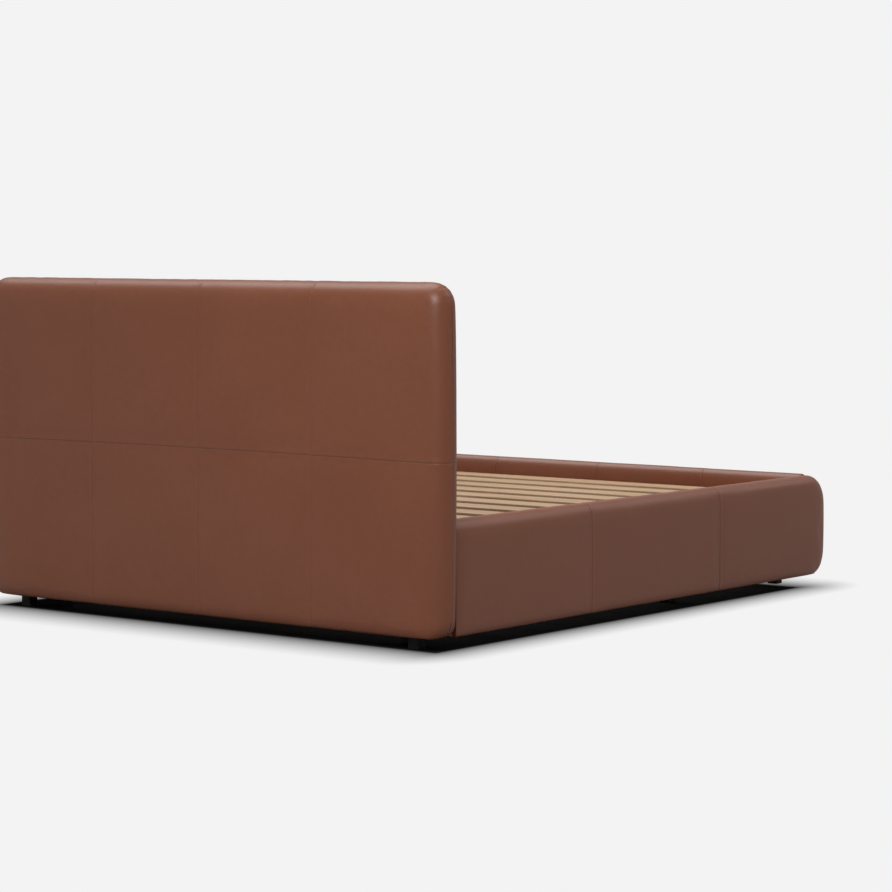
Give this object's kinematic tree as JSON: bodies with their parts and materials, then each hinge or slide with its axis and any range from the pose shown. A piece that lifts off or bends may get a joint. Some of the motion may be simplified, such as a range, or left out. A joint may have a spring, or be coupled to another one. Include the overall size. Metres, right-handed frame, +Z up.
{
  "type": "leather bed frame",
  "caption": "Upholstered leather bed frame: thick padded headboard with stitched panels, padded side and foot rails with rounded ends, slatted base on short black legs.",
  "frame": {"origin": "on the floor under the middle of the bed's overall outline", "axes": "+Z up, +Y towards the headboard, +X to the right as seen from the foot end"},
  "size_m": [2.02, 2.36, 1.15],
  "materials": {
    "leather": "brown top-grain leather, satin",
    "foam": "open-cell upholstery foam",
    "plywood": "raw birch plywood",
    "pine": "planed pine",
    "beech": "sanded beech",
    "black_lacquer": "black lacquer, satin",
    "zinc_steel": "zinc-plated steel",
    "black_plastic": "black moulded nylon"
  },
  "bodies": {
    "frame": {"headboard_back_cover": "leather", "headboard_front_cover": "leather", "left_rail_cover": "leather", "right_rail_cover": "leather", "foot_rail_cover": "leather", "headboard_back_foam": "foam", "headboard_front_foam": "foam", "left_rail_foam": "foam", "right_rail_foam": "foam", "foot_rail_foam": "foam", "headboard_back_panel": "plywood", "headboard_front_panel": "plywood", "left_rail_board": "plywood", "right_rail_board": "plywood", "foot_rail_board": "plywood", "headboard_left_post": "pine", "headboard_right_post": "pine", "headboard_centre_post": "pine", "headboard_top_rail": "pine", "headboard_bottom_rail": "pine", "left_ledger": "pine", "right_ledger": "pine", "head_ledger": "pine", "foot_ledger": "pine", "centre_beam": "pine", "slat_01": "beech", "slat_02": "beech", "slat_03": "beech", "slat_04": "beech", "slat_05": "beech", "slat_06": "beech", "slat_07": "beech", "slat_08": "beech", "slat_09": "beech", "slat_10": "beech", "slat_11": "beech", "slat_12": "beech", "headboard_left_foot": "black_lacquer", "headboard_right_foot": "black_lacquer", "head_left_leg": "black_lacquer", "head_right_leg": "black_lacquer", "middle_left_leg": "black_lacquer", "middle_right_leg": "black_lacquer", "foot_left_leg": "black_lacquer", "foot_right_leg": "black_lacquer", "centre_leg_1": "black_lacquer", "centre_leg_2": "black_lacquer", "centre_leg_3": "black_lacquer", "left_slot_plate": "zinc_steel", "right_slot_plate": "zinc_steel", "left_hook_plate": "zinc_steel", "right_hook_plate": "zinc_steel", "left_corner_bracket": "zinc_steel", "right_corner_bracket": "zinc_steel", "head_beam_hanger": "zinc_steel", "foot_beam_hanger": "zinc_steel"},
    "glide_1": {"levelling_glide_1": "black_plastic"},
    "glide_2": {"levelling_glide_2": "black_plastic"},
    "glide_3": {"levelling_glide_3": "black_plastic"}
  },
  "joints": [
    {"name": "glide_1_travel", "type": "slide", "parent": "frame", "child": "glide_1", "axis": [0, 0, 1], "range_m": [0, 0.011]},
    {"name": "glide_2_travel", "type": "slide", "parent": "frame", "child": "glide_2", "axis": [0, 0, 1], "range_m": [0, 0.011]},
    {"name": "glide_3_travel", "type": "slide", "parent": "frame", "child": "glide_3", "axis": [0, 0, 1], "range_m": [0, 0.011]}
  ]
}
